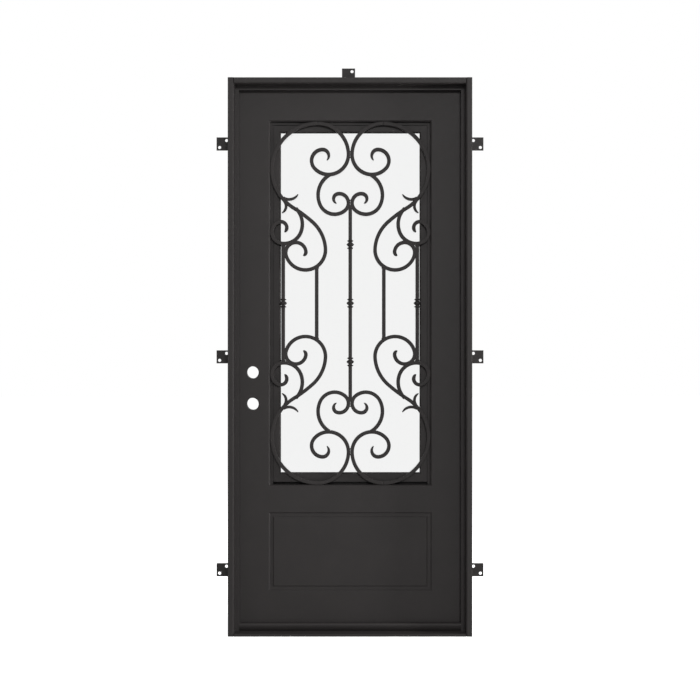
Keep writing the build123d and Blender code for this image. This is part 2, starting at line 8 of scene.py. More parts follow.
import bpy
import numpy as np
from bpy.props import FloatProperty, FloatVectorProperty, IntProperty, PointerProperty
from bpy.types import Operator, Panel, PropertyGroup
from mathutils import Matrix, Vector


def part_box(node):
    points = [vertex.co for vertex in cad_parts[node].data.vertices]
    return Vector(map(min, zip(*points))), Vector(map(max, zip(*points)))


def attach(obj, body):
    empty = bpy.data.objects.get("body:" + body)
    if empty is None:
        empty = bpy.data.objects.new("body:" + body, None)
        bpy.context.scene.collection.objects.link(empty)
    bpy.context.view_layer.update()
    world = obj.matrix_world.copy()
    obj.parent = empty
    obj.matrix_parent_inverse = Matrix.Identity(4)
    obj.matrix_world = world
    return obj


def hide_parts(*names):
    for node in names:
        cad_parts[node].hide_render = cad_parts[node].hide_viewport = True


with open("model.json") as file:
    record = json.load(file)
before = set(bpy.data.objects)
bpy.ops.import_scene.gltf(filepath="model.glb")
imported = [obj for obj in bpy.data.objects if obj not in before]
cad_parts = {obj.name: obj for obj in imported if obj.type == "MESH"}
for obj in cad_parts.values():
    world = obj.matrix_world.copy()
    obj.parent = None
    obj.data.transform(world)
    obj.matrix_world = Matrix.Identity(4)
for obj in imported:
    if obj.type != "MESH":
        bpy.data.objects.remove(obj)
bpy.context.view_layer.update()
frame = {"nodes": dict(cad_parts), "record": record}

bl_info = {
    "name": "Iron Front Door",
    "version": (1, 0, 0),
    "blender": (4, 5, 0),
    "location": "View3D > Sidebar > Iron Door",
    "description": "Builds the wrought grille, seals, screws, welds and finishes of an iron front door",
    "category": "Add Mesh",
}

MM = 0.001
SIDES = {"lock_side": 1.0, "hinge_side": -1.0}
LEVELS = {"upper": 1.0, "lower": -1.0}
BARS = ("centre_bar", "inner_bar_lock_side", "inner_bar_hinge_side", "side_bar_lock_side", "side_bar_hinge_side")

# The grille's upper left quarter, in millimetres. A scroll is a chain of tangent arcs, each a turn in degrees
# and a signed radius. It leaves a branch of the ring at a station: the number of an arc, the turn along it
# in degrees, a step to the left and a turn of the heading.
RING_OUTER_RADIUS = 202.2
RING_INNER_RADIUS = 137.35
RING_DOWN = ((90.0, RING_OUTER_RADIUS), (58.3, RING_OUTER_RADIUS), (9.7, -614.7), (45.1, -172.6),
             (167.8, -89.1), (189.6, -44.9), (80.7, -17.8))
RING_UP = ((90.0, -RING_INNER_RADIUS), (77.4, -88.9), (61.5, -84.3), (129.6, -49.5), (140.5, -27.6))
HEART_STATION = (2, 9.7, 1.6, 27.8)
HEART = ((84.0, 104.2), (106.0, 70.3), (82.7, 43.0), (68.2, 39.2), (146.5, 22.4))
SIDE_STATION = (2, 0.9, 3.6, -12.6)
SIDE = ((63.7, -100.1), (80.7, -79.8), (144.3, -49.8), (103.4, -26.7), (68.4, -25.4))
THORN_UP_STATION = (1, 40.1, 4.8, 17.5)
THORN_UP = ((93.2, 46.4),)
THORN_DOWN_STATION = (1, 44.5, -3.1, -6.9)
THORN_DOWN = ((101.6, -33.8),)

# Steps along a path: to find a station, a weld's place and, in millimetres, a scroll's reach
STATION_STEP = 0.004
WELD_STEP = 0.002
REACH_STEP = 0.5

# Seeds of the hammer marks and weld beads, each the first of a row
SCROLL_SEEDS = (10, 20, 30, 40)
THORN_SEED = 201
BAR_SEED = 301
WELD_SEED = 500

# The forged section: points on a rounded corner and on a flat side, the share of half the width at which a rounded
# end starts, and a thorn's depth as a share of the bar's
CORNER_POINTS, SIDE_POINTS = 5, 3
END_SHARE = 0.02
THORN_DEPTH = 0.9

# The hammer's waves: their number, the first one's radians a metre and what each next one adds
WAVES, FIRST_WAVE, NEXT_WAVE = 5, 90, 75

# A knuckle: points along it and round it, its ridges' places and reaches as shares of its half height, the power
# that makes them blunt, and how far it goes into the bar
LATHE_POINTS, LATHE_COLUMNS = 81, 48
WIDE_REACH, END_PLACE, END_REACH = 0.42, 0.80, 0.20
BLUNTNESS = 0.6
KNUCKLE_BED = 0.002

# A weld bead: its mesh, its ripples, how blunt it ends, how far it leans, and its middle and half length along Y
# as shares of the bar's width
BEAD_ROWS, BEAD_COLUMNS = 25, 14
BEAD_RIPPLE, BEAD_WAVES = 0.10, 5
BEAD_BLUNTNESS = 0.3
BEAD_LEAN = 0.0006
BEAD_MIDDLE, BEAD_HALF = 0.22, 0.25

# Points across a rubber strip and the share of its height that its ribs take. Points round the slot's seal, on the
# gasket's quarter, over the sill's nose and under it.
STRIP_POINTS, RIB_SHARE = 41, 0.14
SLOT_POINTS, GASKET_POINTS, NOSE_POINTS, CURL_POINTS = 24, 7, 9, 12

# A screw head: its mesh, the edge and slope of its recess's arms and of their ends as shares of its radius, the
# rim's height and the recess's depth as shares of its dome, and how far it is sunk in the plate
SCREW_ROWS, SCREW_COLUMNS = 22, 48
ARM_EDGE, ARM_SLOPE, ARM_END, END_SLOPE = 0.15, 0.05, 0.55, 0.06
RIM_HEIGHT, RECESS_DEPTH = 0.35, 0.9
SCREW_BED = 0.0005

# Scale, detail and roughness of the paint's noises (slow, middling, fine, hammered), the slow one's share of the
# mottle, and how much the gloss varies
PAINT_NOISES = ((7, 4, 0.55), (60, 5, 0.6), (900, 2, 0.5), (110, 1, 0.4))
SLOW_SHARE = 0.6
UNEVENNESS = 0.18

# Each lamp's place and size (its power is the setting of the same name), the point that all face, and half the
# floor's width
LAMPS = {"key": ((1.6, -14.0, 5.5), (4.0, 1.6)), "edge": ((4.2, -1.0, 1.3), (0.5, 3.0)),
         "top": ((0.3, -1.2, 6.8), (3.0, 0.8)), "rear": ((-4.6, 3.4, 1.9), (3.0, 3.0))}
LAMP_TARGET = (0.0, 0.0, 1.2)
FLOOR_HALF = 30.0


def box_of(name):
    """The lowest and highest corner of a CAD node, as arrays."""
    low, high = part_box(name)
    return np.array(low), np.array(high)


# Where the grille hangs and how large it is, read from the frame
RING_LOW, RING_HIGH = box_of("ring_scroll_upper_lock_side")
TWIN_LOW, TWIN_HIGH = box_of("ring_scroll_lower_hinge_side")
BAR_LOW, BAR_HIGH = box_of("centre_bar")
BAR = float(BAR_HIGH[0] - BAR_LOW[0])
MIDDLE = np.array([(RING_LOW[0] + TWIN_HIGH[0]) / 2, (BAR_LOW[1] + BAR_HIGH[1]) / 2,
                   (RING_HIGH[2] + TWIN_LOW[2]) / 2])
RING_REACH = float(MIDDLE[0] - RING_LOW[0]) - BAR / 2
RING_INSET = float(MIDDLE[0] - RING_HIGH[0]) + BAR / 2
SCALE = (RING_REACH - RING_INSET) / (RING_OUTER_RADIUS + RING_INNER_RADIUS)
RING_TOP = (-RING_INSET - SCALE * RING_INNER_RADIUS, float(RING_HIGH[2] - MIDDLE[2]) - BAR / 2)


# shapes worked out with numpy: each is its points and a list of arrays of its faces' corners

def surface(grid):
    """The shape of a grid of points, rows along a path and columns round it. Each row joins the next, the last
    column joins the first, and each end closes to a pole at the mean of its row."""
    rows, columns, _ = grid.shape
    index = np.arange(rows * columns).reshape(rows, columns)
    following = np.roll(index, -1, axis=1)
    quads = np.stack([index[:-1], following[:-1], following[1:], index[1:]], axis=-1).reshape(-1, 4)
    first, last = rows * columns, rows * columns + 1
    start = np.stack([following[0], index[0], np.full(columns, first)], axis=-1)
    end = np.stack([index[-1], following[-1], np.full(columns, last)], axis=-1)
    return np.vstack([grid.reshape(-1, 3), grid[0].mean(0), grid[-1].mean(0)]), [quads, start, end]


def looped(grid):
    """The shape of a grid of points that closes on itself both ways, as a ring does."""
    rows, columns, _ = grid.shape
    index = np.arange(rows * columns).reshape(rows, columns)
    following = np.roll(index, -1, axis=0)
    quads = np.stack([index, following, np.roll(following, -1, axis=1), np.roll(index, -1, axis=1)], axis=-1)
    return grid.reshape(-1, 3), [quads.reshape(-1, 4)]


def turned_over(points, faces):
    """The shape with its faces turned over: the same first corner, then the others the other way round."""
    return points, [np.roll(corners[:, ::-1], 1, axis=1) for corners in faces]


def placed(shape, side=1.0, level=1.0):
    """A shape of the upper left quarter, mirrored to its own quarter and put in the grille's place."""
    points, faces = shape
    points = points * np.array([side, 1.0, level]) + MIDDLE
    return turned_over(points, faces) if side * level < 0 else (points, faces)


def joined(name, shapes, smooth=True):
    """One object from several shapes, its origin at the world's."""
    faces, offset = [], 0
    for points, parts in shapes:
        for corners in parts:
            faces += (corners + offset).tolist()
        offset += len(points)
    mesh = bpy.data.meshes.new(name)
    mesh.from_pydata(np.vstack([points for points, _ in shapes]).tolist(), [], faces)
    mesh.update()
    if smooth:
        mesh.shade_smooth()
    piece = bpy.data.objects.new(name, mesh)
    bpy.context.scene.collection.objects.link(piece)
    return piece


def walk(start, arcs, scale, step):
    """Points and headings along a chain of tangent arcs. On each arc the heading turns evenly with length, and the
    point is the arc's centre plus the radius times (sin h, -cos h)."""
    x, z, heading = start
    points, headings = [np.array([[x, z]])], [np.array([heading])]
    for turn, radius_mm in arcs:
        radius, signed = radius_mm * scale, math.copysign(math.radians(turn), radius_mm)
        steps = max(3, math.ceil(abs(radius * signed) / step))
        h = heading + signed * np.arange(1, steps + 1) / steps
        centre = np.array([x - radius * math.sin(heading), z + radius * math.cos(heading)])
        along = centre + radius * np.stack([np.sin(h), -np.cos(h)], axis=-1)
        points.append(along)
        headings.append(h)
        heading, (x, z) = h[-1], along[-1]
    return np.vstack(points), np.concatenate(headings)


def leaving(heading, arcs, station):
    """The point and heading of a scroll that leaves a branch of the ring at a station."""
    number, turn, sidestep, swing = station
    start = (*RING_TOP, math.radians(heading))
    points, headings = walk(start, arcs[:number] + ((turn, arcs[number][1]),), SCALE, STATION_STEP)
    (x, z), h = points[-1], headings[-1]
    return x - sidestep * SCALE * math.sin(h), z + sidestep * SCALE * math.cos(h), h + math.radians(swing)


def fitted(start, arcs, target, side):
    """The scale at which a scroll's outermost point, to the left (-1) or the right (1), comes to a line."""
    points, _ = walk((0.0, 0.0, start[2]), arcs, 1.0, REACH_STEP)
    spread = points[:, 0].max() if side > 0 else points[:, 0].min()
    return (target - start[0]) / spread


def heart_path():
    """Start, arcs and scale of the heart scroll, which comes as near to the middle line as the ring."""
    start = leaving(0, RING_UP, HEART_STATION)
    return start, HEART, fitted(start, HEART, -RING_INSET, 1)


def side_path():
    """Start, arcs and scale of the side scroll, which comes as near to the wall as the ring."""
    start = leaving(180, RING_DOWN, SIDE_STATION)
    return start, SIDE, fitted(start, SIDE, -RING_REACH, -1)


def lengths(points):
    """Distance along a path to each of its points."""
    return np.concatenate([[0.0], np.cumsum(np.hypot(*np.diff(points, axis=0).T))])


def softened_square(share):
    """A unit square with rounded corners. Each quarter is an arc of the corner's share, turning by 90 degrees
    about (1 - share, 1 - share), and then the points that divide the flat side."""
    a = np.linspace(0, np.pi / 2, CORNER_POINTS)
    flat = np.linspace(0, 1, SIDE_POINTS + 2)[1:-1]
    u = np.concatenate([1 - share + share * np.cos(a), (1 - share) * (1 - 2 * flat)])
    v = np.concatenate([1 - share + share * np.sin(a), np.ones(SIDE_POINTS)])
    return np.concatenate([u, -v, -u, v])[::-1], np.concatenate([v, u, -v, -u])[::-1]


def forged(distance, across, seed, size):
    """Hammer marks: a sum of slow waves along and round the bar, their phases set by the seed."""
    phase = np.random.default_rng(seed).uniform(0, 2 * np.pi, (WAVES, 2))
    waves = 0
    for number, (a, b) in enumerate(phase):
        waves = waves + np.sin(distance * (FIRST_WAVE + NEXT_WAVE * number) + a) * np.sin(across * (1 + number) + b)
    return size * waves / WAVES


def sweep(points, headings, width, depth, seed, grille, rounded=True):
    """The forged bar: the softened square carried along a path in the grille's plane. Across the path it is
    half the width times u, along Y half the depth times v, and both shrink as a quarter circle at a rounded end."""
    u, v = softened_square(grille.corner)
    columns = len(u)
    distance = lengths(points)
    near_end = distance[-1] - distance if rounded else np.full(len(points), np.inf)
    reach = np.clip(near_end / (width / 2), END_SHARE, 1)
    shrink = np.sqrt(1 - (1 - reach) ** 2)[:, None]
    marks = forged(distance[:, None], np.arange(columns)[None, :] * 2 * np.pi / columns, seed, grille.hammer)
    half = (width[:, None] / 2) * u[None, :] * shrink * (1 - marks / BAR)
    grid = np.empty((len(points), columns, 3))
    grid[:, :, 0] = points[:, None, 0] - np.sin(headings)[:, None] * half
    grid[:, :, 1] = (depth[:, None] / 2) * v[None, :] * shrink * (1 - np.abs(marks) / BAR)
    grid[:, :, 2] = points[:, None, 1] + np.cos(headings)[:, None] * half
    return surface(grid)


def scroll(start, arcs, scale, grille, seed):
    """A forged scroll: full width until its last arc, along which it narrows with the cube of the way to the tip.
    Its depth falls with the square of that way."""
    points, headings = walk(start, arcs, scale, grille.step)
    distance = lengths(points)
    taper = math.radians(arcs[-1][0]) * abs(arcs[-1][1]) * scale
    share = np.clip((distance - distance[-1] + taper) / taper, 0, 1)
    wide = BAR + (grille.tip - BAR) * share ** 3
    deep = BAR + (grille.tip_depth - BAR) * share ** 2
    return sweep(points, headings, wide, deep, seed, grille)


def thorn(start, arcs, grille, seed):
    """A forged thorn: it stays wide along its one arc and narrows with the fourth power of the way to its tip.
    Its depth falls with the square of that way."""
    points, headings = walk(start, arcs, SCALE, grille.step / 2)
    distance = lengths(points)
    share = distance / distance[-1]
    wide = grille.thorn + (grille.thorn_tip - grille.thorn) * share ** 4
    deep = THORN_DEPTH * BAR + (grille.tip_depth - THORN_DEPTH * BAR) * share ** 2
    return sweep(points, headings, wide, deep, seed, grille)


def lathe(radius, height, centre):
    """A closed profile, given as radius and height, turned round an upright axis: each point is
    (radius cos a, radius sin a, height) from the centre."""
    angle = 2 * np.pi * np.arange(LATHE_COLUMNS)[:, None] / LATHE_COLUMNS
    grid = np.empty((LATHE_COLUMNS, len(radius), 3))
    grid[:, :, 0] = np.cos(angle) * radius + centre[0]
    grid[:, :, 1] = np.sin(angle) * radius + centre[1]
    grid[:, :, 2] = height + centre[2]
    return looped(grid)


def ridge(z, at, reach, radius):
    """A blunt ridge of a knuckle: at d from its middle along the bar, its radius times (1 - d / reach) ^ 0.6."""
    return radius * np.clip(1 - np.abs(z - at) / reach, 0, 1) ** BLUNTNESS


def weld_bead(x, z, trim, seed):
    """A short weld along the back half of a bar: circles along Y, set a little off true by the seed. At t, from -1
    to 1 along it, their radius is the weld's times (1 + 0.1 sin(5 pi t + 3 phase)) times (1 - t^2) ^ 0.3."""
    t = np.linspace(-1, 1, BEAD_ROWS)[:, None]
    angle = 2 * np.pi * np.arange(BEAD_COLUMNS)[None, :] / BEAD_COLUMNS
    phase, lean = np.random.default_rng(seed).uniform(-1, 1, 2)
    ripple = 1 + BEAD_RIPPLE * np.sin(np.pi * BEAD_WAVES * t + 3 * phase)
    radius = trim.weld * ripple * np.clip(1 - t ** 2, 0.0004, 1) ** BEAD_BLUNTNESS
    grid = np.empty((BEAD_ROWS, BEAD_COLUMNS, 3))
    grid[:, :, 0] = x + radius * np.cos(angle) + BEAD_LEAN * lean * t
    grid[:, :, 1] = BAR * (BEAD_MIDDLE + BEAD_HALF * t)
    grid[:, :, 2] = z - radius * np.sin(angle) + BEAD_LEAN * phase * t
    return surface(grid)


def extruded(outline, start, end, axis):
    """A closed outline carried straight along X (axis 0) or Z (axis 2). The outline is given as pairs in the other
    two directions: Y and Z for a strip along X, X and Y for one along Z."""
    outline = np.asarray(outline)
    grid = np.empty((2, len(outline), 3))
    first, second = (1, 2) if axis == 0 else (0, 1)
    grid[:, :, first], grid[:, :, second] = outline[:, 0], outline[:, 1]
    grid[:, :, axis] = [[start], [end]]
    return surface(grid)


def strip_profile(width, height, ribs):
    """The two coordinates of a ribbed rubber strip: at t, from -1 to 1 across its width, its height is the strip's
    times (1 - t^4) times (0.86 + 0.14 cos(pi ribs t)). The line between its two ends is its flat base."""
    t = np.linspace(-1, 1, STRIP_POINTS)
    ripple = 1 - RIB_SHARE + RIB_SHARE * np.cos(np.pi * ribs * t)
    return t * width / 2, np.maximum(height * (1 - t ** 4) * ripple, 0.0)


def nose_outline(front, back, lip, top, trim):
    """Y of the foot of the sill's nose, and the nose's outline as Y and Z: a quarter circle over the front edge,
    then an arc that turns the face downwards by the sill's curl until it meets the flat front."""
    start = top - trim.sill_round
    over = np.linspace(np.pi / 2, np.pi, NOSE_POINTS)
    turn = np.linspace(0, trim.sill_curl, CURL_POINTS + 1)[1:]
    radius = (start - lip + MM) / math.sin(trim.sill_curl)
    under = front + radius * (1 - np.cos(turn))
    y = np.concatenate([[back], front + trim.sill_round * (1 + np.cos(over)), under, [back]])
    z = np.concatenate([[top], start + trim.sill_round * np.sin(over), start - radius * np.sin(turn), [lip - MM]])
    return under[-1] + MM, np.stack([y, z], axis=-1)


def gasket_ring(corners, face, out, trim):
    """A wedge of rubber round a rectangle, mitred at its corners: a quarter of an ellipse, inset by its width times
    (1 - cos a) from the glazing frame, and its height times (1 - sin a) off the glass."""
    (x0, z0), (x1, z1) = corners
    a = np.linspace(0, np.pi / 2, GASKET_POINTS)
    inset = np.concatenate([trim.gasket * (1 - np.cos(a)), [-trim.gasket_bed, -trim.gasket_bed]])
    height = np.concatenate([trim.gasket_height * (1 - np.sin(a)), [0.0, trim.gasket_height]])
    grid = np.empty((4, len(inset), 3))
    grid[:, :, 0] = np.array([[x0], [x1], [x1], [x0]]) + np.array([[1], [-1], [-1], [1]]) * inset
    grid[:, :, 1] = face + out * height
    grid[:, :, 2] = np.array([[z0], [z0], [z1], [z1]]) + np.array([[1], [1], [-1], [-1]]) * inset
    return turned_over(*looped(grid)) if out > 0 else looped(grid)


def screw_head(x, y, z, trim):
    """A domed head with a crossed recess. At r, from 0 in the middle to 1, it stands off by the dome's height times
    (0.35 + 0.65 sqrt(1 - r^2)). The recess is a slope of the smaller of |u| and |v|, and ends at about half of r."""
    r = np.linspace(0.02, 1, SCREW_ROWS)[:, None]
    angle = 2 * np.pi * np.arange(SCREW_COLUMNS)[None, :] / SCREW_COLUMNS
    u, v = r * np.cos(angle), r * np.sin(angle)
    arms = np.clip((ARM_EDGE - np.minimum(np.abs(u), np.abs(v))) / ARM_SLOPE, 0, 1)
    recess = arms * np.clip((ARM_END - r) / END_SLOPE, 0, 1)
    dome = trim.screw_dome * (RIM_HEIGHT + (1 - RIM_HEIGHT) * np.sqrt(np.clip(1 - r ** 2, 0, 1)))
    grid = np.empty((SCREW_ROWS + 1, SCREW_COLUMNS, 3))
    grid[:-1, :, 0] = x + dome - recess * trim.screw_dome * RECESS_DEPTH
    grid[:-1, :, 1] = y - trim.screw * u
    grid[:-1, :, 2] = z + trim.screw * v
    grid[-1, :, 0] = x - SCREW_BED
    grid[-1, :, 1:] = grid[-2, :, 1:]
    return surface(grid)


# materials

def preset(node, values):
    """The node, with its inputs of these names set."""
    for name, value in values.items():
        node.inputs[name].default_value = value
    return node


def material(name):
    """The tree and Principled shader of a new node material, cleared of anything else."""
    made = bpy.data.materials.new(name)
    made.use_nodes = True
    tree = made.node_tree
    tree.nodes.clear()
    shader = tree.nodes.new("ShaderNodeBsdfPrincipled")
    output = tree.nodes.new("ShaderNodeOutputMaterial")
    tree.links.new(shader.outputs["BSDF"], output.inputs["Surface"])
    return tree, shader


def blended(tree, factor, dark, light):
    """A colour that runs from dark to light with a factor."""
    mix = tree.nodes.new("ShaderNodeMix")
    mix.data_type = "RGBA"
    preset(mix, {"A": (*dark, 1), "B": (*light, 1)})
    tree.links.new(factor, mix.inputs["Factor"])
    return mix.outputs["Result"]


def bumped(tree, height, distance, shader):
    """Lets a height tilt the shader's normal."""
    bump = preset(tree.nodes.new("ShaderNodeBump"), {"Strength": 1.0, "Distance": distance})
    tree.links.new(height, bump.inputs["Height"])
    tree.links.new(bump.outputs["Normal"], shader.inputs["Normal"])


def sprayed_paint_group():
    """Sprayed satin paint: a slow mottle of colour, a finer unevenness of gloss and the paint's orange peel."""
    group = bpy.data.node_groups.new("sprayed_paint", "ShaderNodeTree")
    face = group.interface
    face.new_socket("Vector", in_out="INPUT", socket_type="NodeSocketVector")
    for name, value in (("Mottle", 1.0), ("Roughness", 0.5), ("Unevenness", 0.1), ("Peel", 0.2), ("Marks", 0.0)):
        face.new_socket(name, in_out="INPUT", socket_type="NodeSocketFloat").default_value = value
    for name in ("Shade", "Roughness", "Height"):
        face.new_socket(name, in_out="OUTPUT", socket_type="NodeSocketFloat")
    nodes, links = group.nodes, group.links
    start, end = nodes.new("NodeGroupInput"), nodes.new("NodeGroupOutput")

    def noise(scale, detail, rough):
        node = preset(nodes.new("ShaderNodeTexNoise"), {"Scale": scale, "Detail": detail, "Roughness": rough})
        links.new(start.outputs["Vector"], node.inputs["Vector"])
        return node.outputs["Fac"]

    def maths(operation, *values):
        node = nodes.new("ShaderNodeMath")
        node.operation = operation
        for slot, value in enumerate(values):
            if isinstance(value, (int, float)):
                node.inputs[slot].default_value = value
            else:
                links.new(value, node.inputs[slot])
        return node.outputs[0]

    slow, middling, fine, hammered = (noise(*numbers) for numbers in PAINT_NOISES)
    mixed = maths("ADD", maths("MULTIPLY", slow, SLOW_SHARE), maths("MULTIPLY", middling, 1 - SLOW_SHARE))
    shade = maths("MULTIPLY_ADD", maths("SUBTRACT", mixed, 0.5), start.outputs["Mottle"], 0.5)
    gloss = maths("MULTIPLY_ADD", maths("SUBTRACT", middling, 0.5), start.outputs["Unevenness"],
                  start.outputs["Roughness"])
    height = maths("MULTIPLY_ADD", fine, start.outputs["Peel"],
                   maths("MULTIPLY", hammered, start.outputs["Marks"]))
    for name, value in (("Shade", shade), ("Roughness", gloss), ("Height", height)):
        links.new(value, end.inputs[name])
    return group


def painted(name, group, paint, mottle, roughness, peel, marks, distance):
    """A satin near-black bronze paint, its colour running between the paint's dark and light shades."""
    tree, shader = material(name)
    nodes, links = tree.nodes, tree.links
    where, coat = nodes.new("ShaderNodeTexCoord"), nodes.new("ShaderNodeGroup")
    coat.node_tree = group
    preset(coat, {"Mottle": mottle, "Roughness": roughness, "Unevenness": UNEVENNESS, "Peel": peel, "Marks": marks})
    links.new(where.outputs["Object"], coat.inputs["Vector"])
    links.new(blended(tree, coat.outputs["Shade"], paint.dark, paint.light), shader.inputs["Base Color"])
    links.new(coat.outputs["Roughness"], shader.inputs["Roughness"])
    bumped(tree, coat.outputs["Height"], distance, shader)
    preset(shader, {"Specular IOR Level": paint.gloss})


def rubber_material():
    """Matt black sealing rubber, slightly greyed in patches."""
    tree, shader = material("seal_rubber")
    where = tree.nodes.new("ShaderNodeTexCoord")
    dust = preset(tree.nodes.new("ShaderNodeTexNoise"), {"Scale": 45})
    tree.links.new(where.outputs["Object"], dust.inputs["Vector"])
    grey = blended(tree, dust.outputs["Fac"], (0.006, 0.006, 0.006), (0.014, 0.013, 0.013))
    tree.links.new(grey, shader.inputs["Base Color"])
    preset(shader, {"Roughness": 0.8, "Specular IOR Level": 0.3})


def brushed_material():
    """Brushed stainless steel: fine scratches along Z in its gloss and height."""
    tree, shader = material("brushed_steel")
    nodes, links = tree.nodes, tree.links
    where = nodes.new("ShaderNodeTexCoord")
    stretch = preset(nodes.new("ShaderNodeMapping"), {"Scale": (1, 1, 0.02)})
    scratch = preset(nodes.new("ShaderNodeTexNoise"), {"Scale": 2500, "Detail": 3})
    spread = preset(nodes.new("ShaderNodeMapRange"), {"To Min": 0.26, "To Max": 0.42})
    links.new(where.outputs["Object"], stretch.inputs["Vector"])
    links.new(stretch.outputs["Vector"], scratch.inputs["Vector"])
    links.new(scratch.outputs["Fac"], spread.inputs["Value"])
    links.new(spread.outputs["Result"], shader.inputs["Roughness"])
    bumped(tree, scratch.outputs["Fac"], 0.00004, shader)
    preset(shader, {"Base Color": (0.56, 0.55, 0.53, 1), "Metallic": 1.0})


def glass_material():
    """Clear sealed glass with a faint grey-green cast."""
    _, shader = material("door_glass")
    preset(shader, {"Base Color": (0.885, 0.888, 0.886, 1), "Roughness": 0.0, "Transmission Weight": 1.0,
                    "IOR": 1.45})


def paints():
    """The materials of the door, made once and then looked up by name."""
    if "satin_iron" not in bpy.data.materials:
        paint = bpy.context.scene.iron_door_paint
        group = sprayed_paint_group()
        painted("satin_iron", group, paint, mottle=1.2, roughness=paint.satin, peel=0.25, marks=0.0,
                distance=0.00025)
        painted("forged_iron", group, paint, mottle=1.6, roughness=paint.satin + 0.04, peel=0.25, marks=1.0,
                distance=0.0004)
        painted("hinge_iron", group, paint, mottle=1.2, roughness=paint.satin - 0.08, peel=0.15, marks=0.0,
                distance=0.0002)
        rubber_material()
        brushed_material()
        glass_material()
    return bpy.data.materials


def dress(piece, finish):
    """Gives an object its material and nothing else."""
    piece.data.materials.clear()
    piece.data.materials.append(finish)


def fitted_as(piece, body, slot, finish, *nodes):
    """Lets a new piece ride on a body with a finish, in place of the nodes that it stands for."""
    dress(piece, paints()[finish])
    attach(piece, body)
    if nodes:
        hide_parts(*nodes)


# settings

class IronDoorPaint(PropertyGroup):
    """Colours and gloss of the painted iron."""
    dark: FloatVectorProperty(
        name="Dark shade", description="Darkest shade of the bronze paint", subtype="COLOR", size=3, min=0, max=1,
        default=(0.0155, 0.0140, 0.0138))
    light: FloatVectorProperty(
        name="Light shade", description="Lightest shade of the bronze paint", subtype="COLOR", size=3, min=0, max=1,
        default=(0.0225, 0.0202, 0.0198))
    gloss: FloatProperty(
        name="Gloss", description="Strength of the paint's reflection", subtype="FACTOR", min=0, max=1, default=0.13)
    satin: FloatProperty(
        name="Roughness", description="Roughness of the satin paint", subtype="FACTOR", min=0, max=1, default=0.58)


class IronDoorGrille(PropertyGroup):
    """Sizes of the wrought grille."""
    tip: FloatProperty(name="Tip width", description="Width of a scroll at its tip", unit="LENGTH", default=0.0034)
    tip_depth: FloatProperty(
        name="Tip depth", description="Depth of a scroll at its tip", unit="LENGTH", default=0.008)
    thorn: FloatProperty(
        name="Thorn width", description="Width of a thorn where it leaves the ring", unit="LENGTH", default=0.0125)
    thorn_tip: FloatProperty(
        name="Thorn tip", description="Width of a thorn at its tip", unit="LENGTH", default=0.0032)
    corner: FloatProperty(
        name="Corner", description="Share of the bar's half width that its rounded edges take", subtype="FACTOR",
        min=0.02, max=1, default=0.2)
    hammer: FloatProperty(
        name="Hammer marks", description="Depth of the forged unevenness", unit="LENGTH", default=0.00012)
    step: FloatProperty(
        name="Step", description="Distance between the rings of a scroll's mesh", unit="LENGTH", default=0.004)
    collar: FloatProperty(
        name="Collar radius", description="Radius of a knuckle's wide ring", unit="LENGTH", default=0.0169)
    collar_ring: FloatProperty(
        name="Collar ring", description="Radius of a knuckle's narrow rings", unit="LENGTH", default=0.0145)
    collar_neck: FloatProperty(
        name="Collar neck", description="Radius between a knuckle's rings", unit="LENGTH", default=0.0078)
    collar_height: FloatProperty(
        name="Collar height", description="Height of a knuckle", unit="LENGTH", default=0.040)


class IronDoorTrim(PropertyGroup):
    """Sizes of the seals, sill, gasket, screws and welds."""
    ribs: IntProperty(name="Ribs", description="Ribs along a rubber strip", min=1, max=9, default=3)
    gasket: FloatProperty(
        name="Gasket width", description="Rubber seen between the glazing frame and the glass", unit="LENGTH",
        default=0.0009)
    gasket_height: FloatProperty(
        name="Gasket height", description="How far the gasket stands off the glass", unit="LENGTH", default=0.0020)
    gasket_bed: FloatProperty(
        name="Gasket bed", description="How far the gasket goes into the glazing frame", unit="LENGTH",
        default=0.0010)
    slot_height: FloatProperty(
        name="Slot height", description="Height of the slot under the glazing frame", unit="LENGTH", default=0.0115)
    slot_depth: FloatProperty(
        name="Slot depth", description="Depth of the slot under the glazing frame", unit="LENGTH", default=0.026)
    slot_end: FloatProperty(
        name="Slot end", description="Side of the opening to the end of the slot", unit="LENGTH", default=0.0125)
    slot_seal_depth: FloatProperty(
        name="Slot seal", description="Depth of the rubber seal in the slot", unit="LENGTH", default=0.008)
    sill_lip: FloatProperty(
        name="Sill front", description="Height of the sill's flat front", unit="LENGTH", default=0.011)
    sill_bevel: FloatProperty(
        name="Sill bevel", description="Bevel of the sill's front edge", unit="LENGTH", default=0.0025)
    sill_nose: FloatProperty(
        name="Sill nose", description="Depth of the sill's raised nose", unit="LENGTH", default=0.027)
    sill_round: FloatProperty(
        name="Nose round", description="Radius over the nose's front edge", unit="LENGTH", default=0.009)
    sill_curl: FloatProperty(
        name="Nose curl", description="How far the nose's face turns downwards", unit="ROTATION",
        default=math.radians(50))
    weld: FloatProperty(name="Weld radius", description="Radius of a weld bead", unit="LENGTH", default=0.0026)
    weld_offset: FloatProperty(
        name="Weld offset", description="From where two pieces touch to the middle of a bead", unit="LENGTH",
        default=0.013)
    screw: FloatProperty(
        name="Screw head", description="Radius of a strike plate's screw heads", unit="LENGTH", default=0.0042)
    screw_dome: FloatProperty(name="Screw dome", description="Height of a screw head", unit="LENGTH", default=0.0009)
    screw_inset: FloatProperty(
        name="Screw inset", description="End of a strike plate to a screw", unit="LENGTH", default=0.009)
    strike_height: FloatProperty(
        name="Strike height", description="Height of one strike plate", unit="LENGTH", default=0.070)


